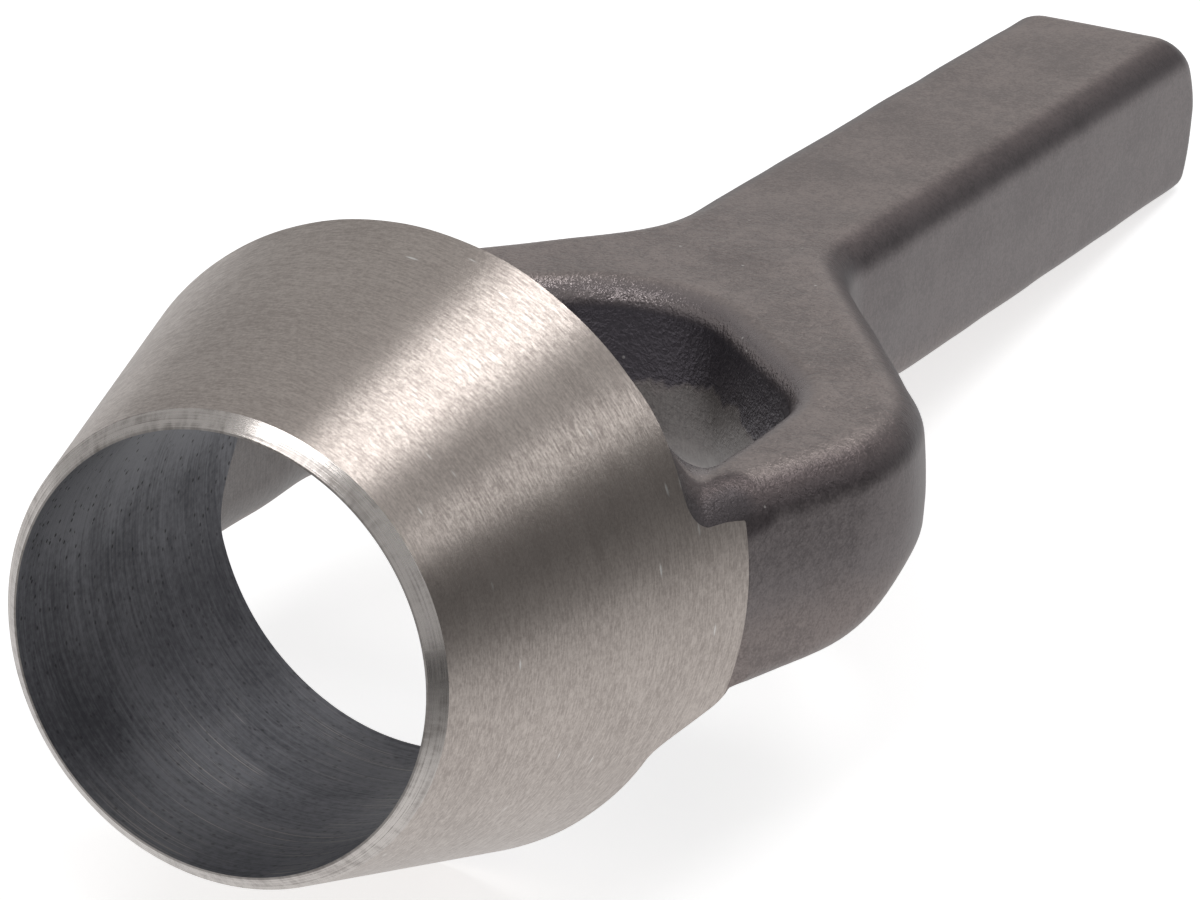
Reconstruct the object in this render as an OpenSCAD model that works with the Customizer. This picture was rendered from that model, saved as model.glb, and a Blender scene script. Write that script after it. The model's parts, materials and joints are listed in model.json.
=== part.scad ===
// Wad punch: an arch-handled hollow punch, drop forged in one piece.
// The solids below are the zones of that one forging. They meet face to face,
// where the grinding ends and where the shape of the section changes.
// Each zone is drawn with the tool's own axis along X, cutting edge at x = 0,
// and laid() then puts the tool down on its flat side, as it lies on a bench.

/* [Cutting bell] */
// Diameter of the hole that the punch cuts
cut_d = 30; // [24:0.5:32]
// Width of the flat left on the cutting edge by stoning
edge_land = 0.15; // [0.1:0.05:0.3]
// Length of the sharpening bevel along the axis
bevel_l = 0.9; // [0.5:0.1:2]
// Radial width of the sharpening bevel
bevel_w = 1; // [0.5:0.1:1.5]
// Length of the bell from the cutting edge to its rear rim
bell_l = 24; // [20:0.5:27]
// Outer radius that the ground cone gains from the bevel to the rear rim
bell_flare = 6.1; // [4.5:0.1:7]
// Distance that the back of the bell rises from the rear rim to the bore
back_rise = 4; // [1:0.5:5]
// Radius that the clearance bore gains from the cutting edge to the back
bore_flare = 1.2; // [0.5:0.1:2]

/* [Bow] */
// Thickness of the forging between its two flat faces
forging_t = 13.6; // [12:0.2:16]
// Distance that the grinding runs on behind the rear rim, along the arms
ground_run = 5; // [4.5:0.5:9]
// Width of the bow over its shoulders
bow_w = 55; // [52:0.5:58]
// Distance from the rear rim to the widest point, where the arms end
shoulder_run = 21; // [18:0.5:24]
// Radius of the shoulders
shoulder_r = 15; // [10:0.5:16]
// Width of the window between the arms
window_w = 35.6; // [34:0.2:39]
// Radius of the window's two haunches
haunch_r = 8.5; // [6:0.5:12]
// Distance from the rear rim to the top of the window
window_run = 38.6; // [35:0.2:42]
// Radius of the window's top
window_top_r = 9; // [6:0.5:13]
// Radius of the fillet from an arm's upper face into the rear rim
foot_over_r = 3.6; // [2:0.2:4.4]
// Radius of the fillet from an arm's lower face into the rear rim
foot_under_r = 5; // [2:0.2:5]

/* [Shank] */
// Overall length of the tool
tool_l = 150; // [130:1:170]
// Distance from the rear rim to the start of the straight shank
bow_run = 56; // [54:1:66]
// Width of the shank
shank_w = 16.2; // [14:0.2:20]
// Radius of the fillet from the shoulders into the shank
root_r = 12; // [6:0.5:16]
// Length of the dressed end that takes the blows
head_l = 5; // [4:0.5:8]
// Radius that is dressed round the struck face
head_r = 3.6; // [2:0.2:4.4]

/* [Forged edges] */
// Radius of the long edges of the bow and the shank
edge_r = 2.8; // [1.5:0.1:4]

/* [Hidden] */
$fn = 96;

ground_steel = [0.72, 0.69, 0.66];
bevel_steel = [0.86, 0.85, 0.83];
forged_skin = [0.36, 0.33, 0.32];
dressed_steel = [0.42, 0.39, 0.38];

// Radii of the bell at a distance x from the cutting edge
bevel_r = cut_d / 2 + edge_land + bevel_w;
cone_slope = bell_flare / (bell_l - bevel_l);
bore_slope = bore_flare / (bell_l + back_rise);
rim_r = bevel_r + bell_flare;
bore_l = bell_l + back_rise;
function cone_r(x) = bevel_r + cone_slope * (x - bevel_l);
function bore_r(x) = cut_d / 2 + bore_slope * x;

// The same places as distances from the cutting edge
ground_l = bell_l + ground_run;
shoulder_x = bell_l + shoulder_run;
window_top_x = bell_l + window_run;
shank_x = bell_l + bow_run;

half_t = forging_t / 2;
half_shank = shank_w / 2;
// Steps round a long edge, and steps in each arc of the outline
edge_steps = 5;
arc_steps = 10;
// How far cutting shapes run past what they cut
over = 1;

// The outline of the bow is a chain of arcs with straight lines between them.
// Each arc is [centre x, centre y, radius, bulge, from, to]. The bulge is 1 where
// the metal is inside the arc and -1 where it is outside, so an inset takes
// from the first radius and adds to the second.
ground_end = [ground_l, cone_r(ground_l)];
shoulder_c = [shoulder_x, bow_w / 2 - shoulder_r];
root_c = [shank_x, half_shank + root_r];
haunch_c = [shoulder_x, window_w / 2 - haunch_r];
top_c = [window_top_x - window_top_r, 0];

// Direction of the normal of a line that touches two circles, where gap is the
// sum of their radii for a crossing line and the difference for an outer one
function heading(v) = atan2(v[1], v[0]);
function tangent(from, to, gap) = heading(to - from) + acos(gap / norm(to - from));

wall_a = heading(ground_end - shoulder_c) - acos(shoulder_r / norm(ground_end - shoulder_c));
slope_a = tangent(shoulder_c, root_c, shoulder_r + root_r);
closing_a = tangent(haunch_c, top_c, haunch_r - window_top_r);

arm_arc = [shoulder_c[0], shoulder_c[1], shoulder_r, 1, wall_a, 90];
crown_arcs = [
    [shoulder_c[0], shoulder_c[1], shoulder_r, 1, 90, slope_a],
    [root_c[0], root_c[1], root_r, -1, slope_a + 180, 270]
];
// The top of the window ends half a step short of the axis on each side
window_arcs = [
    [haunch_c[0], haunch_c[1], haunch_r, -1, 90, closing_a],
    [top_c[0], top_c[1], window_top_r, -1, closing_a, closing_a / (2 * arc_steps + 1)]
];

function arc_points(a, inset) = [for (i = [0 : arc_steps])
    let (q = a[4] + (a[5] - a[4]) * i / arc_steps, r = a[2] - a[3] * inset)
    [a[0] + r * cos(q), a[1] + r * sin(q)]];
function chain(arcs, inset) = [for (a = arcs) each arc_points(a, inset)];
// Where the outer wall, on its way back from the shoulder, meets the grinding
function wall_start(inset) =
    let (n = [cos(wall_a), sin(wall_a)], p = ground_end - inset * n)
    [ground_l, p[1] + (p[0] - ground_l) * n[0] / n[1]];
// The two edges of a piece have as many points, so each point faces a partner
function backwards(points) = [for (i = [len(points) - 1 : -1 : 0]) points[i]];
function both_sides(points) = concat(points, [for (p = backwards(points)) [p[0], -p[1]]]);
function arm_outline(inset) =
    let (outer = concat([wall_start(inset)], arc_points(arm_arc, inset)))
    concat(outer, [for (p = backwards(outer)) [p[0], window_w / 2 + inset]]);
function crown_outline(inset) = concat(
    both_sides(chain(crown_arcs, inset)), backwards(both_sides(chain(window_arcs, inset))));

// Inset and height of the layers that round the long edges
layers = [for (side = [-1, 1], i = [0 : edge_steps])
    let (q = 90 * (side < 0 ? 1 - i / edge_steps : i / edge_steps))
    [edge_r * (1 - cos(q)), side * (half_t - edge_r + edge_r * sin(q))]];

// A solid through a stack of closed rings. Point i of a ring faces point n - 1 - i
// across the metal, so the first and the last ring close with a strip of quads.
module skin(rings) {
    n = len(rings[0]);
    last = len(rings) - 1;
    sides = [for (k = [0 : last - 1], i = [0 : n - 1])
        [k * n + i, k * n + (i + 1) % n, (k + 1) * n + (i + 1) % n, (k + 1) * n + i]];
    strip = [for (i = [0 : n / 2 - 2]) [i, i + 1, n - 2 - i, n - 1 - i]];
    bottom = [for (quad = strip) backwards(quad)];
    top = [for (quad = strip) [for (i = quad) last * n + i]];
    polyhedron(points = [for (ring = rings) each ring], faces = concat(sides, bottom, top));
}

// One arm, from the end of the grinding to the widest point of the bow
module arm() {
    skin([for (layer = layers) [for (p = arm_outline(layer[0])) [p[0], p[1], layer[1]]]]);
}

// A shape drawn as radius against distance, turned round the tool's axis
module turned(points) {
    rotate([0, 90, 0]) rotate_extrude() polygon([for (p = points) [p[1], p[0]]]);
}

// The ground foot of an arm. Fillets carry its two flat faces out to the rear
// rim, and its outer side is the bell's own cone.
module foot() {
    difference() {
        intersection() {
            turned([[bell_l - back_rise, 0], [bell_l - back_rise, cone_r(bell_l - back_rise)],
                [ground_l, cone_r(ground_l)], [ground_l, 0]]);
            translate([0, window_w / 2, 0]) rotate([-90, 0, 0]) linear_extrude(bow_w) foot_side();
        }
        turned([[0, 0], [0, rim_r], [bell_l, rim_r], [bore_l, bore_r(bore_l)], [bore_l, 0]]);
    }
}

module foot_side() {
    translate([bell_l, -half_t]) square([ground_l - bell_l, forging_t]);
    foot_fillet(-1, foot_over_r);
    foot_fillet(1, foot_under_r);
}

// The corner between a flat face and the rim, on one side of the middle plane
module foot_fillet(side, r) {
    difference() {
        translate([bell_l, side > 0 ? 0 : -half_t - r]) square([r, half_t + r]);
        translate([bell_l + r, side * (half_t + r)]) circle(r);
    }
}

// The shank's section: a rectangle with its four long edges rounded
module shank_section() {
    square([forging_t, shank_w - 2 * edge_r], center = true);
    square([forging_t - 2 * edge_r, shank_w], center = true);
    for (y = [-1, 1], z = [-1, 1])
        translate([z * (half_t - edge_r), y * (half_shank - edge_r)]) circle(edge_r);
}

module shank_bar(from, to) {
    translate([from, 0, 0]) rotate([0, 90, 0]) linear_extrude(to - from) shank_section();
}

// One side view of the struck end: a rectangle with its two far corners rounded
module end_profile(half) {
    translate([tool_l - head_l - over, -half]) square([head_l + over - head_r, 2 * half]);
    translate([tool_l - head_r - over, head_r - half]) square([head_r + over, 2 * (half - head_r)]);
    for (side = [-1, 1])
        translate([tool_l - head_r, side * (half - head_r)]) circle(head_r);
}

// The tool rests on the lowest point of the rear rim and on the lower edge of
// the struck end, so its axis dips towards that end.
reach = tool_l - head_r - bell_l;
dip = atan2(rim_r - half_t, reach);
lift = bell_l * sin(dip) + rim_r * cos(dip);
front_x = -(cut_d / 2 + edge_land) * sin(dip);
back_x = (tool_l - head_r) * cos(dip) + (half_t - head_r) * sin(dip) + head_r;

module laid() {
    translate([-(front_x + back_x) / 2, 0, lift]) rotate([0, dip, 0]) children();
}

module cutting_edge() {
    color(bevel_steel) laid()
        turned([[0, cut_d / 2], [0, cut_d / 2 + edge_land], [bevel_l, bevel_r],
            [bevel_l, bore_r(bevel_l)]]);
}

module bell() {
    color(ground_steel) laid()
        turned([[bevel_l, bore_r(bevel_l)], [bevel_l, bevel_r], [bell_l, rim_r],
            [bore_l, bore_r(bore_l)]]);
}

module left_foot() {
    color(ground_steel) laid() foot();
}

module right_foot() {
    color(ground_steel) laid() mirror([0, 1, 0]) foot();
}

module left_arm() {
    color(forged_skin) laid() arm();
}

module right_arm() {
    color(forged_skin) laid() mirror([0, 1, 0]) arm();
}

module crown() {
    color(forged_skin) laid()
        skin([for (layer = layers) [for (p = crown_outline(layer[0])) [p[0], p[1], layer[1]]]]);
}

module shank() {
    color(forged_skin) laid() shank_bar(shank_x, tool_l - head_l);
}

module struck_end() {
    color(dressed_steel) laid() intersection() {
        shank_bar(tool_l - head_l, tool_l);
        rotate([90, 0, 0]) linear_extrude(shank_w + over, center = true) end_profile(half_t);
        linear_extrude(forging_t + over, center = true) end_profile(half_shank);
    }
}

cutting_edge();
bell();
left_foot();
right_foot();
left_arm();
right_arm();
crown();
shank();
struck_end();
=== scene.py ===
import json
import math

import bpy
import numpy as np
from mathutils import Matrix, Vector


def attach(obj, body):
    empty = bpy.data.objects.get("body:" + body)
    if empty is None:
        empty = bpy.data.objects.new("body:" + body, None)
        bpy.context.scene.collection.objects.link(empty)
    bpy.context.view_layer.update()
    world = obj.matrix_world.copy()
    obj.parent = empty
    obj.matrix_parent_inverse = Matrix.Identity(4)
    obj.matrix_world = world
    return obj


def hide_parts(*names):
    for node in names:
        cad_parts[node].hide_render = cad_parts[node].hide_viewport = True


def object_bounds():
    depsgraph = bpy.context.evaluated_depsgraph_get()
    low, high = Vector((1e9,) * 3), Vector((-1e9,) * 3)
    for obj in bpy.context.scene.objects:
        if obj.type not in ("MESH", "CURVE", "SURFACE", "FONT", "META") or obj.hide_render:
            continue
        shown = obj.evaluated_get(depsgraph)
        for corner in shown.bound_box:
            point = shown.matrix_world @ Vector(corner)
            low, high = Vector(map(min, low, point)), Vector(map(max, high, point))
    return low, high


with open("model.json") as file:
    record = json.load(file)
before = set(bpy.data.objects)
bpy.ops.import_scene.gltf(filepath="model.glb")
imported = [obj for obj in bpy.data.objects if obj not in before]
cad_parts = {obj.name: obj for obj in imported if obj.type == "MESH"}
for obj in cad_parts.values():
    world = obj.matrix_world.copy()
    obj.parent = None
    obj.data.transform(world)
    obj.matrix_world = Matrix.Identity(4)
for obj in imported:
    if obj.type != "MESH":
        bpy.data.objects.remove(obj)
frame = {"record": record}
cadLow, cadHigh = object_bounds()
print("frame loaded")

# The pieces are worked out in the tool's own axes and in millimetres: x runs from the cutting edge
# to the struck end, y towards the left arm, z out of the upper flat face.
mounts = {m["name"]: m for m in frame["record"]["mounts"]}
edgeCentre = Vector(mounts["cutting_edge"]["pos_m"])
toolAxis = -Vector(mounts["cutting_edge"]["axis"]).normalized()
toolLength = (Vector(mounts["striking_face"]["pos_m"]) - edgeCentre).length * 1000
leftWay = Vector((0, 1, 0))
faceWay = toolAxis.cross(leftWay)
toolWays = np.array([toolAxis, leftWay, faceWay])
mm = 0.001

bell = {
    "cutRadius": 15.0,
    "landWidth": 0.15,
    "bevelLength": 0.9,
    "bevelWidth": 1.0,
    "length": 24.0,
    "flare": 6.1,
    "backRise": 4.0,  # the back slopes on from the rim to the bore
    "boreFlare": 1.2,
    "boreStop": (2.2, 2.0, 30.0),  # skin and field end this far before the haunches, the field so steeply
    "groundRun": 5.0,  # the grinding goes on this far along the arms
    "runOut": 0.8,  # how steeply the forged skin stands out from there
    "riseRun": 5.0,  # how far that is followed
    "turnSteps": 420,
    "alongStep": 0.4,
    "bevelStep": 0.2,  # as a share of the bevel's length
}

forging = {
    "bowThickness": 13.8,
    "shankThickness": 13.2,
    "thinFrom": 62.0,
    "thinTo": 96.0,
    "bowWidth": 55.0,
    "shoulderX": 44.8,
    "shoulderRadius": 20.0,
    "windowWidth": 35.6,
    "haunchX": 44.1,
    "haunchRadius": 11.5,
    "windowTopX": 62.6,
    "windowTopRadius": 9.0,
    "footRadius": (8.5, 1.4),  # below and above
    "innerFootRadius": (1.6, 9.0),  # the same inside the window
    "footBlend": (0.8, 5.0),  # from this far inside the window's wall, over this width
    "footScoop": (0.4, (24.5, 21.8, 7.2), 2.2),  # a hollow behind the rim: depth, place and reach
    "shankX": 82.0,
    "shankWidth": 16.2,
    "rootRadius": 12.0,
    "edgeRadius": 3.0,
    "shoulderEase": 2.6,  # how much rounder the lower edge is at the shoulders
    "easeX": 50.0,  # where that is most
    "easeReach": 17.0,
    "footEase": (-1.7, 38.0, 12.0),  # and how much sharper it is at the feet, with where that ends
    "shankEase": -1.8,  # the lower edges of the shank are sharper too
    "footDepth": 0.4,  # how far the arms' lower side hangs down there
    "footDepthBlend": (1.0, 3.0),  # as for footBlend
    "rimRadius": (3.2, 2.1),  # round the window, below and above
    "outerDraft": 0.03,
    "crowning": (0.012, 0.6),  # the outer wall bulges, and this share less below
    "windowDraft": 0.04,  # above the parting plane only, because the window is punched out downwards
    "partingSoftness": 0.12,
    "headRadius": (2.4, 3.6, 1.2),  # half way up the sides, above, and below
    "headDome": (0.001, 0.040, 0.054),  # across, up and down
    "headSkew": 0.02,  # the struck face stands a little askew
    "headLength": 5.0,
    "proud": 0.1,  # how far the forged wall stands out where the grinding stops
    "groundSlope": 0.2,
    "blankSlope": 0.35,  # the blank round the bell's back narrows behind the grinding
    "blankRadius": 0.6,
    "lineRuns": (20.0, 90.0, 40.0),  # how far the outlines run on straight at foot, shank and window
    "waviness": (0.05, 0.025),  # on the bow and on the shank
    "waveCount": 26,
    "waveLengths": (5.0, 17.0),
    "gridStep": 0.45,
    "gridMargin": (4.0, 1.5),  # round the forging, in front and elsewhere
}

bevelRadius = bell["cutRadius"] + bell["landWidth"] + bell["bevelWidth"]
coneSlope = bell["flare"] / (bell["length"] - bell["bevelLength"])
rimRadius = bevelRadius + bell["flare"]
boreEnd = bell["length"] + bell["backRise"]
boreSlope = bell["boreFlare"] / boreEnd
groundEnd = bell["length"] + bell["groundRun"]


def coneRadius(x):
    return bevelRadius + coneSlope * (x - bell["bevelLength"])


def boreRadius(x):
    return bell["cutRadius"] + boreSlope * x


def groundRadius(x):
    return coneRadius(np.minimum(x, groundEnd)) + bell["runOut"] * np.maximum(x - groundEnd, 0)


# Outlines are chains of lines and arcs. A line is (start, end) with metal on its right hand, and an
# arc is (centre, radius, bulge, from, to) with bulge 1 where the metal is inside it.
def heading(v):
    return math.atan2(v[1], v[0])


def tangentAngle(start, end, gap):
    way = end - start
    return heading(way) + math.acos(gap / np.linalg.norm(way))


def onArc(centre, radius, angle):
    return centre + radius * np.array([math.cos(angle), math.sin(angle)])


def lineDistance(x, y, line):
    (x0, y0), (x1, y1) = line
    length = math.hypot(x1 - x0, y1 - y0)
    ux, uy = (x1 - x0) / length, (y1 - y0) / length
    along = np.clip((x - x0) * ux + (y - y0) * uy, 0, length)
    side = (y - y0) * ux - (x - x0) * uy
    away = np.hypot(x - x0 - along * ux, y - y0 - along * uy)
    return away, np.where(side > 0, away, -away)


def arcDistance(x, y, arc):
    centre, radius, bulge, start, end = arc
    reach = np.hypot(x - centre[0], y - centre[1])
    angle = np.arctan2(y - centre[1], x - centre[0])
    low, high = min(start, end), max(start, end)
    middle = (low + high) / 2
    turned = (angle - middle + math.pi) % (2 * math.pi) - math.pi
    within = np.abs(turned) <= (high - low) / 2
    tips = [onArc(centre, radius, a) for a in (start, end)]
    toTip = np.minimum(*[np.hypot(x - t[0], y - t[1]) for t in tips])
    away = np.where(within, np.abs(reach - radius), toTip)
    return away, np.where((reach - radius) * bulge > 0, away, -away)


def outlineDistance(x, y, chain):
    best = np.full(np.shape(x), 1e6)
    signed = np.zeros(np.shape(x))
    for piece in chain:
        away, side = lineDistance(x, y, piece) if len(piece) == 2 else arcDistance(x, y, piece)
        nearer = away < best
        best = np.where(nearer, away, best)
        signed = np.where(nearer, side, signed)
    return signed


def outerChain():
    f = forging
    footRun, shankRun, _ = f["lineRuns"]
    start = np.array([groundEnd, coneRadius(groundEnd) + f["proud"]])
    before = start - np.array([footRun, footRun * f["groundSlope"]])
    shoulder = np.array([f["shoulderX"], f["bowWidth"] / 2 - f["shoulderRadius"]])
    root = np.array([f["shankX"], f["shankWidth"] / 2 + f["rootRadius"]])
    toStart = start - shoulder
    wall = heading(toStart) - math.acos(f["shoulderRadius"] / np.linalg.norm(toStart))
    slope = tangentAngle(shoulder, root, f["shoulderRadius"] + f["rootRadius"])
    end = root - np.array([0, f["rootRadius"]])
    opening = slope + math.pi
    return [
        (before, start),
        (start, onArc(shoulder, f["shoulderRadius"], wall)),
        (shoulder, f["shoulderRadius"], 1, wall, slope),
        (onArc(shoulder, f["shoulderRadius"], slope), onArc(root, f["rootRadius"], opening)),
        (root, f["rootRadius"], -1, opening, 3 * math.pi / 2),
        (end, end + np.array([shankRun, 0.0])),
    ]


def windowChain():
    f = forging
    haunch = np.array([f["haunchX"], f["windowWidth"] / 2 - f["haunchRadius"]])
    top = np.array([f["windowTopX"] - f["windowTopRadius"], 0.0])
    closing = tangentAngle(haunch, top, f["haunchRadius"] - f["windowTopRadius"])
    wallEnd = haunch + np.array([0, f["haunchRadius"]])
    return [
        (wallEnd - np.array([f["lineRuns"][2], 0.0]), wallEnd),
        (haunch, f["haunchRadius"], 1, math.pi / 2, closing),
        (onArc(haunch, f["haunchRadius"], closing), onArc(top, f["windowTopRadius"], closing)),
        (top, f["windowTopRadius"], 1, closing, 0.0),
    ]


outerOutline = outerChain()
windowOutline = windowChain()

waves = np.random.default_rng(7)
waveCount = forging["waveCount"]
waveWays = waves.normal(size=(waveCount, 3))
waveWays /= np.linalg.norm(waveWays, axis=1)[:, None]
waveLengths = waves.uniform(*forging["waveLengths"], waveCount)
waveStarts = waves.uniform(0, 2 * math.pi, waveCount)


def smoothStep(t):
    t = np.clip(t, 0, 1)
    return t * t * (3 - 2 * t)


def roundedMeet(a, b, radius):  # inside both, with the edge between them rounded
    deep = np.minimum(np.maximum(a, b) + radius, 0)
    return deep + np.hypot(np.maximum(a + radius, 0), np.maximum(b + radius, 0)) - radius


def filletedJoin(a, b, radius):  # inside either, with a fillet in the corner between them
    near = np.hypot(np.maximum(radius - a, 0), np.maximum(radius - b, 0))
    return np.maximum(np.minimum(a, b), radius) - near


def hammerWaves(x, y, z):  # the slow unevenness that a drop hammer and blasting leave
    total = 0
    for way, length, start in zip(waveWays, waveLengths, waveStarts):
        total = total + np.sin((x * way[0] + y * way[1] + z * way[2]) * (2 * math.pi / length) + start)
    return total / math.sqrt(waveCount)


def backDistance(x, r):  # the bell's back, which slopes from the rim to the bore
    run, rise = bell["backRise"], rimRadius - boreRadius(boreEnd)
    size = math.hypot(run, rise)
    return ((x - bell["length"]) * rise + (r - rimRadius) * run) / size


def forgedField(points):  # negative inside the forging, about the distance in mm near its skin
    f = forging
    x, side, z = points[..., 0], points[..., 1], points[..., 2]
    y = np.abs(side)
    fromAxis = np.hypot(y, z)
    windowHalf = f["windowWidth"] / 2
    thin = smoothStep((x - f["thinFrom"]) / (f["thinTo"] - f["thinFrom"]))
    half = (f["bowThickness"] + (f["shankThickness"] - f["bowThickness"]) * thin) / 2
    lower = smoothStep(0.5 - z / half)

    # the bow and the shank, cut out of a flat bar with eased edges
    footEase, easeFrom, easeOver = f["footEase"]
    foot = 1 - smoothStep((x - easeFrom) / easeOver)
    inside, over = f["footDepthBlend"]
    outside = smoothStep((y - windowHalf + inside) / over)
    flat = np.abs(z) - half - f["footDepth"] * foot * lower * outside
    bulge, flatter = f["crowning"]
    crown = bulge * (1 - thin) * (1 - flatter * lower)
    parting = np.sqrt(z * z + f["partingSoftness"] ** 2) - f["partingSoftness"]
    outer = outlineDistance(x, y, outerOutline) + f["outerDraft"] * parting + crown * z * z
    eased = f["shoulderEase"] * (1 - smoothStep(np.abs(x - f["easeX"]) / f["easeReach"]))
    eased = (eased + footEase * foot + f["shankEase"] * thin) * lower
    bow = roundedMeet(outer, flat, f["edgeRadius"] + eased)

    # the window
    window = -outlineDistance(x, y, windowOutline) + f["windowDraft"] * np.maximum(z, 0)
    under, over = f["rimRadius"]
    bow = np.maximum(bow, roundedMeet(window, flat, np.where(z > 0, over, under)))

    # the struck end
    across, up, down = f["headDome"]
    dome = across * y * y + np.where(z > 0, up, down) * z * z
    struck = x - toolLength - f["headSkew"] * side + dome
    beside, over, under = f["headRadius"]
    headRadius = beside + (over - beside) * smoothStep(z / half)
    headRadius += (under - beside) * smoothStep(-z / half)
    bow = roundedMeet(bow, struck, headRadius)

    # the bell's back, joined to the arms by fillets
    inside, over = f["footBlend"]
    beyond = smoothStep((y - windowHalf + inside) / over)
    below, above = [i + (o - i) * beyond for i, o in zip(f["innerFootRadius"], f["footRadius"])]
    fillet = below + (above - below) * smoothStep(z / half / 2 + 0.5)
    blank = fromAxis - coneRadius(groundEnd) - f["proud"] + f["blankSlope"] * (x - groundEnd)
    solid = filletedJoin(bow, backDistance(x, fromAxis), fillet)
    solid = np.minimum(bow, roundedMeet(solid, blank, f["blankRadius"]))
    scoopDepth, (scoopX, scoopY, scoopZ), scoopReach = f["footScoop"]
    fromScoop = (x - scoopX) ** 2 + (y - scoopY) ** 2 + (z - scoopZ) ** 2
    solid = solid + scoopDepth * np.exp(-fromScoop / scoopReach**2)
    onBow, onShank = f["waviness"]
    return solid + (onBow + (onShank - onBow) * thin) * hammerWaves(x, side, z)


def groundField(points):  # positive where the grinding wheel has taken the metal away
    return np.hypot(points[..., 1], points[..., 2]) - groundRadius(points[..., 0])


def boreField(points):  # negative in the metal round the bore, and everywhere past the bore's end
    x = points[..., 0]
    _, stop, steepness = bell["boreStop"]
    ended = steepness * np.maximum(x - forging["haunchX"] + stop, 0)
    return boreRadius(x) - ended - np.hypot(points[..., 1], points[..., 2])


def slopeOf(field, points):
    reach = 0.02
    slopes = np.empty_like(points)
    for i in range(3):
        shift = np.zeros(3)
        shift[i] = reach
        slopes[:, i] = (field(points + shift) - field(points - shift)) / (2 * reach)
    return slopes


def settle(points, fields, rounds=3):  # moves points onto one surface, or onto where two cross
    damping, longest, tiny = 1e-6, 0.4, 1e-9
    for _ in range(rounds):
        values = np.stack([g(points) for g in fields], 1)
        slopes = np.stack([slopeOf(g, points) for g in fields], 1)
        square = slopes @ slopes.transpose(0, 2, 1) + damping * np.eye(len(fields))
        pull = np.linalg.solve(square, values[..., None])
        step = (slopes.transpose(0, 2, 1) @ pull)[..., 0]
        size = np.linalg.norm(step, axis=1, keepdims=True)
        points = points - step * np.minimum(1, longest / np.maximum(size, tiny))
    return points


def skinNet(field, low, high, step):  # one vertex in every grid cell that the skin passes through
    axes = [np.arange(a, b + step, step) for a, b in zip(low, high)]
    shape = [len(a) for a in axes]
    values = np.empty(shape)
    for i, x in enumerate(axes[0]):  # slice by slice, to spare memory
        plane = np.stack(np.meshgrid([x], axes[1], axes[2], indexing="ij"), -1)
        values[i] = field(plane)[0]

    # each vertex starts in the middle of where the skin crosses its cell's edges
    corner = [(i, j, k) for i in (0, 1) for j in (0, 1) for k in (0, 1)]
    cells = [n - 1 for n in shape]
    at = [values[i : i + cells[0], j : j + cells[1], k : k + cells[2]] for i, j, k in corner]
    count = sum((a < 0).astype(np.int8) for a in at)
    mixed = (count > 0) & (count < 8)
    number = np.full(cells, -1)
    number[mixed] = np.arange(mixed.sum())
    where = np.argwhere(mixed)
    at = [a[mixed] for a in at]
    total, crossings = np.zeros((len(where), 3)), np.zeros(len(where))
    for a in range(8):
        for b in range(a + 1, 8):
            if sum(p != q for p, q in zip(corner[a], corner[b])) != 1:
                continue
            crosses = (at[a] < 0) != (at[b] < 0)
            t = np.where(crosses, at[a] / np.where(crosses, at[a] - at[b], 1), 0)
            spot = np.array(corner[a]) + t[:, None] * (np.array(corner[b]) - np.array(corner[a]))
            total += np.where(crosses[:, None], spot, 0)
            crossings += crosses
    points = np.array(low) + (where + total / crossings[:, None]) * step

    # each grid edge that the skin crosses gets a quad from the four cells round it
    quads = []
    for axis in range(3):
        u, v = (axis + 1) % 3, (axis + 2) % 3
        inner = [slice(1, -1)] * 3
        inner[axis] = slice(0, -1)
        ahead = list(inner)
        ahead[axis] = slice(1, None)
        first, second = values[tuple(inner)] < 0, values[tuple(ahead)] < 0
        outward = first[first != second]
        offset = np.array([1 if i != axis else 0 for i in range(3)])
        crossed = np.argwhere(first != second) + offset
        ring = []
        for du, dv in ((-1, -1), (0, -1), (0, 0), (-1, 0)):
            cell = crossed.copy()
            cell[:, u] += du
            cell[:, v] += dv
            ring.append(number[cell[:, 0], cell[:, 1], cell[:, 2]])
        ring = np.stack(ring, 1)
        quads.append(np.where(outward[:, None], ring, ring[:, ::-1]))
    quads = np.concatenate(quads)
    return settle(points, [field]), np.concatenate([quads[:, [0, 1, 2]], quads[:, [0, 2, 3]]])


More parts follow.
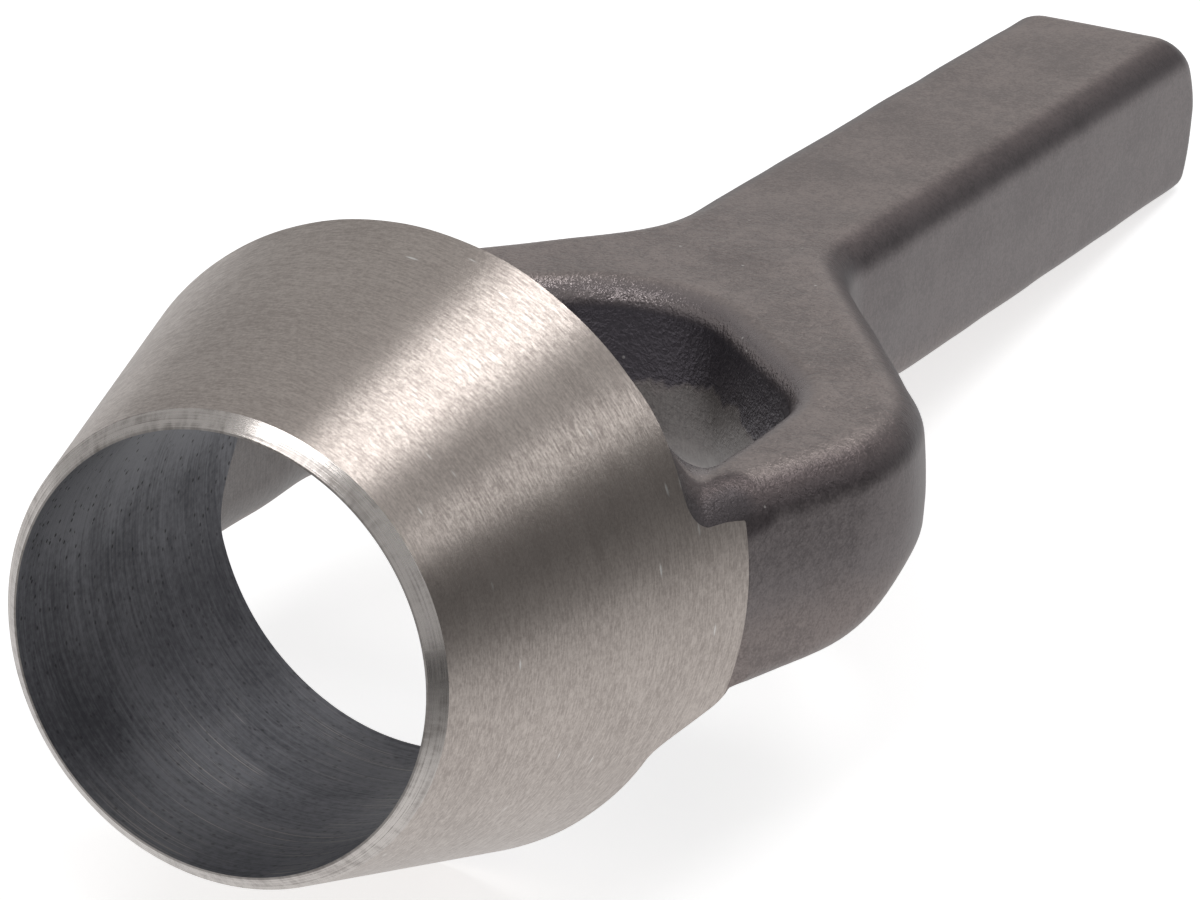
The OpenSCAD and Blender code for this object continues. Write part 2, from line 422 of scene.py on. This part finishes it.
def trimmed(points, faces, own, cutter):  # keeps the side where cutter is negative
    values = cutter(points)
    kept = values < 0
    count = kept[faces].sum(1)
    parts = [faces[count == 3]]
    newEdges, pending = [], []
    for wanted in (1, 2):
        some = faces[count == wanted]
        lone = kept[some] if wanted == 1 else ~kept[some]
        turn = lone.argmax(1)
        a, b, c = [some[np.arange(len(some)), (turn + k) % 3] for k in range(3)]
        pending.append((wanted, a, b, c, len(newEdges)))
        newEdges += [np.stack([a, b], 1), np.stack([a, c], 1)]
    pairs = np.sort(np.concatenate(newEdges), axis=1)
    edges, back = np.unique(pairs, axis=0, return_inverse=True)
    back = back.reshape(-1)
    t = values[edges[:, 0]] / (values[edges[:, 0]] - values[edges[:, 1]])
    cut = points[edges[:, 0]] + t[:, None] * (points[edges[:, 1]] - points[edges[:, 0]])
    cut = settle(cut, [own, cutter], 4)
    ids = len(points) + back
    sizes = np.cumsum([0] + [len(e) for e in newEdges])
    for wanted, a, b, c, first in pending:
        ab, ac = ids[sizes[first] : sizes[first + 1]], ids[sizes[first + 1] : sizes[first + 2]]
        if wanted == 1:
            parts.append(np.stack([a, ab, ac], 1))
        else:
            parts += [np.stack([ab, b, c], 1), np.stack([ab, c, ac], 1)]
    points, faces = np.concatenate([points, cut]), np.concatenate(parts)
    used, faces = np.unique(faces, return_inverse=True)
    faces = faces.reshape(-1, 3)
    whole = (faces[:, 0] != faces[:, 1]) & (faces[:, 1] != faces[:, 2]) & (faces[:, 0] != faces[:, 2])
    return points[used], faces[whole]


def turnedSkin(profile, inward=False):  # a profile of (x, radius) points turned round the axis
    steps = bell["turnSteps"]
    angles = np.arange(steps) * 2 * math.pi / steps
    profile = np.array(profile, float)
    rows = len(profile)
    points = np.empty((rows, steps, 3))
    points[..., 0] = profile[:, :1]
    points[..., 1] = profile[:, 1:] * np.cos(angles)
    points[..., 2] = profile[:, 1:] * np.sin(angles)
    i, j = np.meshgrid(np.arange(rows - 1), np.arange(steps), indexing="ij")
    a, b = i * steps + j, i * steps + (j + 1) % steps
    quads = np.stack([a, b, b + steps, a + steps], -1).reshape(-1, 4)
    if inward:
        quads = quads[:, ::-1]
    return points.reshape(-1, 3), np.concatenate([quads[:, [0, 1, 2]], quads[:, [0, 2, 3]]])


def stretch(start, end, step):
    return np.linspace(start, end, max(2, int(round(abs(end - start) / step)) + 1))


def keepVectors(mesh, name, vectors):  # for the finishes, which are laid out in the tool's axes
    layer = mesh.attributes.new(name, "FLOAT_VECTOR", "POINT")
    layer.data.foreach_set("vector", vectors.astype(np.float32).ravel())


zoneSizes = {  # in mm
    "wall": 0.8,
    "flank": 1.4,
    "footHeight": (3.0, 3.0),  # above the middle plane, and over what height it sets in
    "footDepth": (3.0, 2.8),  # below the cone
    "footX": (27.0, 4.0),
}


# How far a place is on the window's wall, on an edge and on the flank. An edge is 1 on the outer
# ones, 2 where they tuck in behind the bell, and -1 on the window's rim. The edge values place
# painted shade on the upper edges and in the crease of the feet.
def zonesOf(points):
    f, sizes = forging, zoneSizes
    x, y, z = points[:, 0], np.abs(points[:, 1]), points[:, 2]
    window = -outlineDistance(x, y, windowOutline)
    wall = 1 - smoothStep(np.abs(window) / sizes["wall"] - 0.5)
    flat = np.abs(z) - f["bowThickness"] / 2
    outer = outlineDistance(x, y, outerOutline)
    flank = 1 - smoothStep(np.abs(outer) / sizes["flank"] - 0.3)
    edge = np.clip(np.minimum(outer, flat) / f["edgeRadius"] + 1, 0, 1)
    rim = np.clip(np.minimum(window, flat) / f["rimRadius"][1] + 1, 0, 1)
    height, heightOver = sizes["footHeight"]
    depth, depthOver = sizes["footDepth"]
    footX, footReach = sizes["footX"]
    byTheCone = np.hypot(y, z) - coneRadius(np.minimum(x, groundEnd))
    # the feet close behind the bell, where shade is painted
    foot = smoothStep((z - height) / heightOver) * smoothStep((byTheCone + depth) / depthOver)
    foot = foot * (1 - smoothStep(np.abs(x - footX) / footReach - 0.5))
    edge = np.maximum(edge, 2 * foot) - rim
    return np.stack([wall, edge, flank], 1)


def unit(vectors):
    return vectors / np.maximum(np.linalg.norm(vectors, axis=1, keepdims=True), 1e-9)


def coneNormals(points, slope):
    ring = unit(np.stack([np.zeros(len(points)), points[:, 1], points[:, 2]], 1))
    ring[:, 0] = -slope
    return unit(ring)


def makePiece(name, points, faces, normals, material):
    mesh = bpy.data.meshes.new(name)
    placed = points @ toolWays * mm + np.array(edgeCentre)
    mesh.from_pydata(placed.tolist(), [], faces.tolist())
    mesh.shade_smooth()
    mesh.normals_split_custom_set_from_vertices((normals @ toolWays).tolist())
    keepVectors(mesh, "toolPoint", points)
    around = np.stack([np.zeros(len(points)), -points[:, 2], points[:, 1]], 1)
    keepVectors(mesh, "aroundWay", unit(around) @ toolWays)
    keepVectors(mesh, "zones", zonesOf(points))
    mesh.materials.append(material)
    piece = bpy.data.objects.new(name, mesh)
    bpy.context.scene.collection.objects.link(piece)
    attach(piece, "root")
    print(name, len(points), "points", len(faces), "faces")
    return piece


# Materials: small helpers, then one function for each finish
def newMaterial(name):
    material = bpy.data.materials.new(name)
    material.use_nodes = True
    tree = material.node_tree
    return material, tree, tree.nodes["Principled BSDF"]


def feed(tree, socket, value):  # a link, or a number or colour set on the socket itself
    if isinstance(value, bpy.types.NodeSocket):
        tree.links.new(value, socket)
    else:
        socket.default_value = value


def addNode(tree, kind, inputs=None, **settings):
    node = tree.nodes.new(kind)
    for key, value in settings.items():
        setattr(node, key, value)
    for key, value in (inputs or {}).items():
        feed(tree, node.inputs[key], value)
    return node


def compute(tree, operation, a, b=0.0, c=0.0):
    return addNode(tree, "ShaderNodeMath", {0: a, 1: b, 2: c}, operation=operation).outputs[0]


def product(tree, first, *others):
    for other in others:
        first = compute(tree, "MULTIPLY", first, other)
    return first


def weighed(tree, *parts):  # the weighted sum of some fields
    total = 0.0
    for value, weight in parts:
        total = compute(tree, "MULTIPLY_ADD", value, weight, total)
    return total


def blendColour(tree, amount, a, b, kind="MIX"):
    node = addNode(tree, "ShaderNodeMix", data_type="RGBA", blend_type=kind)
    for index, value in ((0, amount), (6, a), (7, b)):
        feed(tree, node.inputs[index], value)
    return node.outputs[2]


def ramp(tree, value, low, high, outLow=0.0, outHigh=1.0, smooth=True):
    inputs = {"Value": value, "From Min": low, "From Max": high, "To Min": outLow, "To Max": outHigh}
    kind = "SMOOTHSTEP" if smooth else "LINEAR"
    return addNode(tree, "ShaderNodeMapRange", inputs, interpolation_type=kind).outputs["Result"]


def noise(tree, vector, scale, detail=2.0, roughness=0.5):
    inputs = {"Vector": vector, "Scale": scale, "Detail": detail, "Roughness": roughness}
    return addNode(tree, "ShaderNodeTexNoise", inputs).outputs["Fac"]


def onMesh(tree, name):  # a vector that makePiece keeps on the mesh
    return addNode(tree, "ShaderNodeAttribute", attribute_name=name).outputs["Vector"]


def split(tree, vector):
    return addNode(tree, "ShaderNodeSeparateXYZ", {0: vector}).outputs


def roundTheAxis(tree, along, around):  # a vector whose noise is drawn out round the tool's axis
    x, y, z = split(tree, onMesh(tree, "toolPoint"))
    radius = compute(tree, "SQRT", weighed(tree, (y, y), (z, z)))
    parts = {
        0: compute(tree, "MULTIPLY", x, along),
        1: compute(tree, "MULTIPLY", compute(tree, "DIVIDE", y, radius), around),
        2: compute(tree, "MULTIPLY", compute(tree, "DIVIDE", z, radius), around),
    }
    return addNode(tree, "ShaderNodeCombineXYZ", parts).outputs[0]


def ringNoise(tree, cells, detail, roughness):  # cells to the mm along the tool, and across the radius
    return noise(tree, roundTheAxis(tree, *cells), 1.0, detail, roughness)


def spots(tree, vector, scale, size, share):  # round marks in some of the cells
    cells = addNode(tree, "ShaderNodeTexVoronoi", {"Vector": vector, "Scale": scale}, feature="F1")
    pick = addNode(tree, "ShaderNodeSeparateColor", {0: cells.outputs["Color"]}).outputs[0]
    return product(tree, ramp(tree, cells.outputs["Distance"], *size), ramp(tree, pick, *share))


def finishWith(tree, shader, colour, roughness, metallic, height, bump, brushing=0.0):
    feed(tree, shader.inputs["Base Color"], colour)
    feed(tree, shader.inputs["Roughness"], roughness)
    feed(tree, shader.inputs["Metallic"], metallic)
    strength, depth = bump
    inputs = {"Height": height, "Strength": strength, "Distance": depth * mm}
    feed(tree, shader.inputs["Normal"], addNode(tree, "ShaderNodeBump", inputs).outputs[0])
    if brushing:  # the lines run round the tool, so the gloss runs along it
        feed(tree, shader.inputs["Anisotropic"], brushing)
        feed(tree, shader.inputs["Anisotropic Rotation"], 0.25)
        feed(tree, shader.inputs["Tangent"], onMesh(tree, "aroundWay"))


# A bump is its strength and its depth in mm. Sizes with two numbers run from one to the other.
groundFinish = {
    "light": (0.66, 0.590, 0.545, 1),
    "dark": (0.44, 0.385, 0.355, 1),
    "nick": (0.95, 0.93, 0.90, 1),
    "toneRange": (0.36, 0.64),
    "roughness": (0.28, 0.38),
    "brushing": 0.6,
    "fineLines": (7.5, 26.0),
    "coarseLines": (1.3, 5.0),
    "speckle": 4.6,
    "cloud": 0.12,
    "nickCells": (1.5, 7.0),
    "nickSize": (0.20, 0.06),
    "nickShare": (0.90, 0.94),
    "bump": (0.6, 0.013),
}


def groundSteel():
    f = groundFinish
    material, tree, shader = newMaterial("groundSteel")
    place = onMesh(tree, "toolPoint")
    fine = ringNoise(tree, f["fineLines"], 2.0, 0.6)
    coarse = ringNoise(tree, f["coarseLines"], 2.0, 0.5)
    speckle = noise(tree, place, f["speckle"], 3.0, 0.7)
    cloud = noise(tree, place, f["cloud"], 3.0, 0.55)
    tone = weighed(tree, (fine, 0.38), (coarse, 0.12), (speckle, 0.36), (cloud, 0.14))
    colour = blendColour(tree, ramp(tree, tone, *f["toneRange"]), f["dark"], f["light"])
    drawnOut = roundTheAxis(tree, *f["nickCells"])
    nick = spots(tree, drawnOut, 1.0, f["nickSize"], f["nickShare"])
    colour = blendColour(tree, nick, colour, f["nick"])
    glossy, dull = f["roughness"]
    roughness = ramp(tree, fine, 0.3, 0.7, dull, glossy)
    height = weighed(tree, (fine, 0.7), (speckle, 0.8), (nick, -0.8))
    finishWith(tree, shader, colour, roughness, 1.0, height, f["bump"], f["brushing"])
    return material


bevelFinish = {
    "light": (0.69, 0.645, 0.615, 1),
    "dark": (0.35, 0.318, 0.30, 1),
    "toneRange": (0.35, 0.62),
    "roughness": (0.20, 0.34),
    "brushing": 0.5,
    "ringCells": (14.0, 1.4),
    "patchCells": (1.0, 3.0),
    "chatterCells": (1.2, 32.0),  # the short marks across the bevel
    "bump": (0.5, 0.01),
}


def bevelSteel():
    f = bevelFinish
    material, tree, shader = newMaterial("bevelSteel")
    rings = ringNoise(tree, f["ringCells"], 2.0, 0.6)
    patches = ringNoise(tree, f["patchCells"], 3.0, 0.6)
    chatter = ringNoise(tree, f["chatterCells"], 2.0, 0.6)
    tone = weighed(tree, (rings, 0.42), (patches, 0.33), (chatter, 0.35))
    colour = blendColour(tree, ramp(tree, tone, *f["toneRange"]), f["dark"], f["light"])
    glossy, dull = f["roughness"]
    roughness = ramp(tree, rings, 0.3, 0.7, dull, glossy)
    height = weighed(tree, (rings, 0.7), (chatter, 0.8))
    finishWith(tree, shader, colour, roughness, 1.0, height, f["bump"], f["brushing"])
    return material


boreFinish = {
    "light": (0.218, 0.220, 0.240, 1),
    "dark": (0.098, 0.099, 0.114, 1),
    "scratch": (0.46, 0.43, 0.40, 1),  # fine bright rings low down, where wads have rubbed
    "pit": (0.025, 0.023, 0.024, 1),
    "toneRange": (0.36, 0.66),
    "roughness": (0.48, 0.62),
    "metallic": 0.6,
    "ringCells": (3.2, 1.2),
    "scale": 2.2,
    "cloud": 0.16,
    "pits": 1.5,
    "pitSize": (0.30, 0.08),
    "pitShare": (0.35, 0.50),
    "pitHeights": (-12.0, 8.0, 0.6, 1.3),  # more of them higher up
    "lowDown": (-9.0, -15.0),
    "highUp": (-2.0, 8.0),
    "rubbedCells": (7.0, 0.7),
    "bump": (0.6, 0.045),
}


def boreSteel():
    f = boreFinish
    material, tree, shader = newMaterial("boreSteel")
    place = onMesh(tree, "toolPoint")
    above = split(tree, place)[2]
    rings = ringNoise(tree, f["ringCells"], 3.0, 0.7)
    scale = noise(tree, place, f["scale"], 4.0, 0.6)
    cloud = noise(tree, place, f["cloud"], 3.0, 0.5)
    pit = spots(tree, place, f["pits"], f["pitSize"], f["pitShare"])
    pit = product(tree, pit, ramp(tree, above, *f["pitHeights"]))
    below, higher = ramp(tree, above, *f["lowDown"]), ramp(tree, above, *f["highUp"])
    tone = weighed(tree, (rings, 0.37), (scale, 0.3), (cloud, 0.33), (below, 0.07), (higher, 0.15))
    rubbed = ramp(tree, ringNoise(tree, f["rubbedCells"], 2.0, 0.6), 0.58, 0.68)
    rubbed = product(tree, rubbed, below, ramp(tree, cloud, 0.42, 0.58, 0.0, 0.8))
    colour = blendColour(tree, ramp(tree, tone, *f["toneRange"]), f["dark"], f["light"])
    colour = blendColour(tree, rubbed, colour, f["scratch"])
    colour = blendColour(tree, product(tree, pit, 0.75), colour, f["pit"])
    glossy, dull = f["roughness"]
    roughness = ramp(tree, tone, 0.3, 0.7, dull, glossy)
    height = weighed(tree, (rings, 0.9), (scale, 0.4), (pit, -1.0))
    finishWith(tree, shader, colour, roughness, f["metallic"], height, f["bump"])
    return material


forgedFinish = {
    "light": (0.40, 0.341, 0.323, 1),
    "dark": (0.25, 0.211, 0.202, 1),
    "scale": (0.115, 0.104, 0.120, 1),  # dark glossy scale, left high up on the window's wall, with painted shade in it
    "sheared": (0.265, 0.248, 0.240, 1),  # the lower part of that wall, from light
    "shorn": (0.200, 0.186, 0.184, 1),  # to dark
    "rim": (0.31, 0.27, 0.27, 1),  # the window's rim, before it turns to the wall's scale and painted shade
    "footCreaseShade": (0.085, 0.075, 0.080, 1),  # painted shade in the feet, close behind the bell
    "edge": (0.46, 0.44, 0.46, 1),  # painted shade: the upper edges are this much darker
    "flank": (0.70, 0.73, 0.77, 1),  # the upper part of the outer wall is darker by this much
    "bright": (0.75, 0.72, 0.70, 1),  # small nicks through the skin
    "toneRange": (0.38, 0.62),
    "roughness": (0.36, 0.48),
    "metallic": 0.75,
    "grain": 1.1,
    "peel": 3.0,
    "dust": 6.0,
    "cloud": 0.13,
    "scaleAndShadeHeights": (2.9, 3.7),  # the window's wall is sheared below and keeps its scale above, which is also painted shade
    "flankHeights": (1.5, 5.5),
    "uprightCells": (5.0, 5.0, 0.7),  # faint lines, as the die left them
    "nicks": 0.8,
    "nickSize": (0.13, 0.06),
    "nickShare": (0.90, 0.93),
    "mottled": (95.0, 70.0, 0.3, 1.0),  # the bow is rougher than the shank
    "bump": (0.75, 0.12),
}


def forgedSkin():
    f = forgedFinish
    material, tree, shader = newMaterial("forgedSkin")
    place = onMesh(tree, "toolPoint")
    along, _, above = split(tree, place)
    wall, edge, flank = split(tree, onMesh(tree, "zones"))
    grain = noise(tree, place, f["grain"], 1.0, 0.4)
    peel = noise(tree, place, f["peel"], 2.0, 0.5)
    dust = noise(tree, place, f["dust"], 2.0, 0.6)
    cloud = noise(tree, place, f["cloud"], 3.0, 0.55)
    cells = {0: place, 1: f["uprightCells"]}
    stretched = addNode(tree, "ShaderNodeVectorMath", cells, operation="MULTIPLY").outputs[0]
    upright = noise(tree, stretched, 1.0, 2.0, 0.5)

    # where each kind of skin lies, and where shade is painted
    uneven = weighed(tree, (cloud, 6.0), (grain, 0.8), (ramp(tree, along, 34.0, 31.0), 2.0))
    upper = ramp(tree, compute(tree, "ADD", above, uneven), *f["scaleAndShadeHeights"])
    # the upper window wall: its scale, made darker still by painted shade
    scaleAndShade = product(tree, wall, upper, ramp(tree, edge, -0.6, 0.0))
    sheared = product(tree, wall, compute(tree, "SUBTRACT", 1.0, upper))
    rim = product(tree, ramp(tree, edge, 0.0, -0.5), ramp(tree, above, 1.0, 4.0))
    # painted shade in the crease of the feet behind the bell
    footCreaseShade = ramp(tree, weighed(tree, (edge, 1.0), (cloud, 0.6)), 1.2, 2.2, 0.0, 0.8)
    # painted shade on the upper edges, and in the feet behind the bell
    paintedEdgeShade = product(tree, ramp(tree, edge, 0.0, 0.45), ramp(tree, above, 0.0, 4.0))
    uneven = weighed(tree, (above, 1.0), (cloud, 5.0), (upright, 1.6), (along, 0.06))
    flanked = product(tree, flank, ramp(tree, uneven, *f["flankHeights"], 0.25, 1.0))
    mottled = ramp(tree, along, *f["mottled"])
    nick = spots(tree, place, f["nicks"], f["nickSize"], f["nickShare"])
    nick = product(tree, nick, ramp(tree, mottled, 0.4, 0.9))

    tone = weighed(tree, (grain, 0.16), (peel, 0.28), (dust, 0.26), (cloud, 0.30))
    colour = blendColour(tree, ramp(tree, tone, *f["toneRange"]), f["dark"], f["light"])
    # painted shade darkens the upper edges and the feet
    colour = blendColour(tree, paintedEdgeShade, colour, f["edge"], "MULTIPLY")
    colour = blendColour(tree, flanked, colour, f["flank"], "MULTIPLY")
    rimColour = blendColour(tree, ramp(tree, edge, -0.4, -1.0), f["rim"], f["scale"])
    colour = blendColour(tree, product(tree, rim, 0.85), colour, rimColour)
    # painted shade in the feet's crease
    colour = blendColour(tree, footCreaseShade, colour, f["footCreaseShade"])
    # scale and painted shade on the upper window wall
    colour = blendColour(tree, scaleAndShade, colour, f["scale"])
    streaks = ramp(tree, weighed(tree, (upright, 0.4), (dust, 0.6)), *f["toneRange"])
    shorn = blendColour(tree, streaks, f["shorn"], f["sheared"])
    colour = blendColour(tree, product(tree, sheared, 0.9), colour, shorn)
    colour = blendColour(tree, product(tree, nick, 0.75), colour, f["bright"])

    rough = ramp(tree, tone, 0.35, 0.65, *f["roughness"])
    rough = weighed(tree, (rough, 1.0), (rim, -0.14), (scaleAndShade, -0.06))
    smoother = weighed(tree, (sheared, -0.6), (flank, -0.6), (rim, 0.4))
    relief = weighed(tree, (grain, 0.75), (peel, 0.85), (dust, 0.20))
    relief = compute(tree, "SUBTRACT", relief, 0.90)
    relief = product(tree, relief, mottled, compute(tree, "ADD", smoother, 1.0))
    height = weighed(tree, (relief, 1.0), (nick, -0.3))
    finishWith(tree, shader, colour, rough, f["metallic"], height, f["bump"])
    return material


groundLook, bevelLook, boreLook, forgedLook = groundSteel(), bevelSteel(), boreSteel(), forgedSkin()
print("finishes made")

# The forging: the bell's back, bow, shank and struck end, one unbroken skin shared by two pieces
inFront, margin = forging["gridMargin"]
halfBow = forging["bowWidth"] / 2
points, faces = skinNet(
    forgedField,
    (bell["length"] - inFront, -halfBow - margin, -rimRadius - margin),
    (toolLength + margin, halfBow + margin, rimRadius + margin),
    forging["gridStep"],
)
points, faces = trimmed(points, faces, forgedField, groundField)
points, faces = trimmed(points, faces, forgedField, boreField)
middle = points[faces].mean(1)
struck = middle[:, 0] > toolLength - forging["headLength"]
for name, part, nodes, slotName in (
    ("forgedBody", faces[~struck], ("left_arm", "right_arm", "crown", "shank"), "forged_steel"),
    ("struckEnd", faces[struck], ("struck_end",), "dressed_steel"),
):
    used, own = np.unique(part, return_inverse=True)
    normals = unit(slopeOf(forgedField, points[used]))
    piece = makePiece(name, points[used], own.reshape(-1, 3), normals, forgedLook)
    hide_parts(*nodes)
print("forging made")

# The ground bell with the feet of the arms, out to where the wheel leaves the metal
rows = stretch(bell["bevelLength"], groundEnd, bell["alongStep"])
points, faces = turnedSkin([(x, coneRadius(x)) for x in rows])
points, faces = trimmed(points, faces, groundField, forgedField)
normals = coneNormals(points, coneSlope)
groundPiece = makePiece("groundBell", points, faces, normals, groundLook)
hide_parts("bell", "left_foot", "right_foot")

# Behind the grinding the skin rises to the arms' walls
rows = stretch(groundEnd, groundEnd + bell["riseRun"], bell["alongStep"])
points, faces = turnedSkin([(x, groundRadius(x)) for x in rows])
points, faces = trimmed(points, faces, groundField, forgedField)
normals = coneNormals(points, bell["runOut"])
makePiece("footRise", points, faces, normals, forgedLook)

# The bore, from the cutting edge through the bell, and on where it cuts the fillets in the window
rows = stretch(0.0, forging["haunchX"] - bell["boreStop"][0], bell["alongStep"])
points, faces = turnedSkin([(x, boreRadius(x)) for x in rows], inward=True)
points, faces = trimmed(points, faces, boreField, forgedField)
makePiece("boreWall", points, faces, -coneNormals(points, boreSlope), boreLook)

# The cutting edge: a stoned land, and the bevel turned on behind it
bevelLength, bevelWidth = bell["bevelLength"], bell["bevelWidth"]
landRadius = bell["cutRadius"] + bell["landWidth"]
landPoints, landFaces = turnedSkin([(0, bell["cutRadius"]), (0, landRadius)])
rows = stretch(0, 1, bell["bevelStep"])
bevelPoints, bevelFaces = turnedSkin([(bevelLength * t, landRadius + bevelWidth * t) for t in rows])
landNormals = np.tile([-1.0, 0, 0], (len(landPoints), 1))
normals = np.concatenate([landNormals, coneNormals(bevelPoints, bevelWidth / bevelLength)])
edgePiece = makePiece(
    "cuttingEdge",
    np.concatenate([landPoints, bevelPoints]),
    np.concatenate([landFaces, bevelFaces + len(landPoints)]),
    normals,
    bevelLook,
)
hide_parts("cutting_edge")
print("bell made")

# Floor, light and camera
studio = {
    "floorColour": (0.86, 0.86, 0.86, 1),
    "floorRoughness": 0.9,
    "floorSize": 6.0,
    "paperGlow": 0.64,
    "paperInSteel": (0.76, 0.20),  # how light the steel shows the paper, close by and far in front
    "paperFront": (0.035, 0.150),
    "paperSide": (-0.080, -0.105, 0.4),  # past the cutting edge it is darker, down to this share
    "roomLight": 0.42,
    "darkLight": 0.10,  # the unlit side of the room, which the bell shows as a dark band
    "darkWay": (-64.0, 2.0),
    "darkReach": (40.0, 10.0),
    "lampDistance": 0.6,
}
white = (1, 1, 1, 1)
# Each lamp: way to it as azimuth from +X and elevation, in degrees, then size in metres and watts
lamps = {
    "keyLamp": ((-18.0, 51.5), (0.26, 0.17), 0.55),
    "sideLamp": ((-54.0, 26.5), (0.10, 0.14), 0.105),
    "frontLamp": ((175.0, 61.0), (0.30, 0.08), 0.46),
}


def wayTo(azimuth, elevation):
    around, above = math.radians(azimuth), math.radians(elevation)
    flat = math.cos(above)
    return Vector((math.cos(around) * flat, math.sin(around) * flat, math.sin(above)))


def mixShaders(tree, amount, a, b):
    return addNode(tree, "ShaderNodeMixShader", {0: amount, 1: a, 2: b}).outputs[0]


def makeFloor():
    mesh = bpy.data.meshes.new("floor")
    half = studio["floorSize"] / 2
    corners = [(-half, -half, 0), (half, -half, 0), (half, half, 0), (-half, half, 0)]
    mesh.from_pydata(corners, [], [(0, 1, 2, 3)])
    floor = bpy.data.objects.new("floor", mesh)
    bpy.context.scene.collection.objects.link(floor)
    material, tree, shader = newMaterial("palePaper")
    feed(tree, shader.inputs["Base Color"], studio["floorColour"])
    feed(tree, shader.inputs["Roughness"], studio["floorRoughness"])
    # to the camera the paper is nearly white, and part of the shadow stays
    glow = addNode(tree, "ShaderNodeEmission", {"Color": white, "Strength": studio["paperGlow"]})
    shown = addNode(tree, "ShaderNodeAddShader", {0: shader.outputs[0], 1: glow.outputs[0]}).outputs[0]
    rays = addNode(tree, "ShaderNodeLightPath").outputs
    looked = mixShaders(tree, rays["Is Camera Ray"], shader.outputs[0], shown)
    # the steel mirrors a paper that is darker further in front and past the cutting edge
    paperX, paperY, _ = split(tree, addNode(tree, "ShaderNodeNewGeometry").outputs["Position"])
    front = product(tree, paperY, -1.0)
    strength = ramp(tree, front, *studio["paperFront"], *studio["paperInSteel"], smooth=False)
    nearSide, farSide, share = studio["paperSide"]
    strength = product(tree, strength, ramp(tree, paperX, farSide, nearSide, share, 1.0))
    paper = addNode(tree, "ShaderNodeEmission", {"Color": white, "Strength": strength}).outputs[0]
    looked = mixShaders(tree, rays["Is Glossy Ray"], looked, paper)
    feed(tree, tree.nodes["Material Output"].inputs["Surface"], looked)
    mesh.materials.append(material)


def makeLamp(name, way, size, watts, target):
    data = bpy.data.lights.new(name, "AREA")
    data.shape = "RECTANGLE"
    data.size, data.size_y = size
    data.energy = watts
    lamp = bpy.data.objects.new(name, data)
    bpy.context.scene.collection.objects.link(lamp)
    away = wayTo(*way)
    lamp.location = target + away * studio["lampDistance"]
    lamp.rotation_mode = "QUATERNION"
    lamp.rotation_quaternion = (-away).to_track_quat("-Z", "Y")


def makeWorld():
    world = bpy.data.worlds.new("studioRoom")
    bpy.context.scene.world = world
    world.use_nodes = True
    tree = world.node_tree
    back = tree.nodes["Background"]
    feed(tree, back.inputs["Color"], white)
    looked = addNode(tree, "ShaderNodeTexCoord").outputs["Generated"]
    dark = wayTo(*studio["darkWay"])
    near = addNode(tree, "ShaderNodeVectorMath", {0: looked, 1: dark}, operation="DOT_PRODUCT")
    outer, inner = [math.cos(math.radians(a)) for a in studio["darkReach"]]
    light = ramp(tree, near.outputs["Value"], outer, inner, studio["roomLight"], studio["darkLight"])
    feed(tree, back.inputs["Strength"], light)
    plain = addNode(tree, "ShaderNodeBackground", {"Color": white, "Strength": 1.0})
    seen = addNode(tree, "ShaderNodeLightPath").outputs["Is Camera Ray"]
    looked = mixShaders(tree, seen, back.outputs[0], plain.outputs[0])
    feed(tree, tree.nodes["World Output"].inputs["Surface"], looked)


makeFloor()
makeWorld()
aim = (cadLow + cadHigh) / 2
for name, (way, size, watts) in lamps.items():
    makeLamp(name, way, size, watts, aim)

cameraView = {
    "lens": 186.0,
    "sensor": 36.0,
    "clips": (0.01, 20.0),
    "azimuth": -62.97,
    "elevation": 26.73,
    "roll": -0.49,
    "distance": 0.460,
    "aim": (-0.00460, 0.00787, 0.00668),  # what stands in the middle of the picture
}


def makeCamera():
    data = bpy.data.cameras.new("camera")
    data.lens = cameraView["lens"]
    data.sensor_width = cameraView["sensor"]
    data.clip_start, data.clip_end = cameraView["clips"]
    camera = bpy.data.objects.new("camera", data)
    bpy.context.scene.collection.objects.link(camera)
    back = wayTo(cameraView["azimuth"] - 90, cameraView["elevation"])
    camera.location = Vector(cameraView["aim"]) + back * cameraView["distance"]
    camera.rotation_mode = "QUATERNION"
    turn = (-back).to_track_quat("-Z", "Y")
    roll = Matrix.Rotation(math.radians(cameraView["roll"]), 4, "Z").to_quaternion()
    camera.rotation_quaternion = turn @ roll
    bpy.context.scene.camera = camera


makeCamera()
bpy.context.scene.view_settings.view_transform = "Standard"
print("studio made")
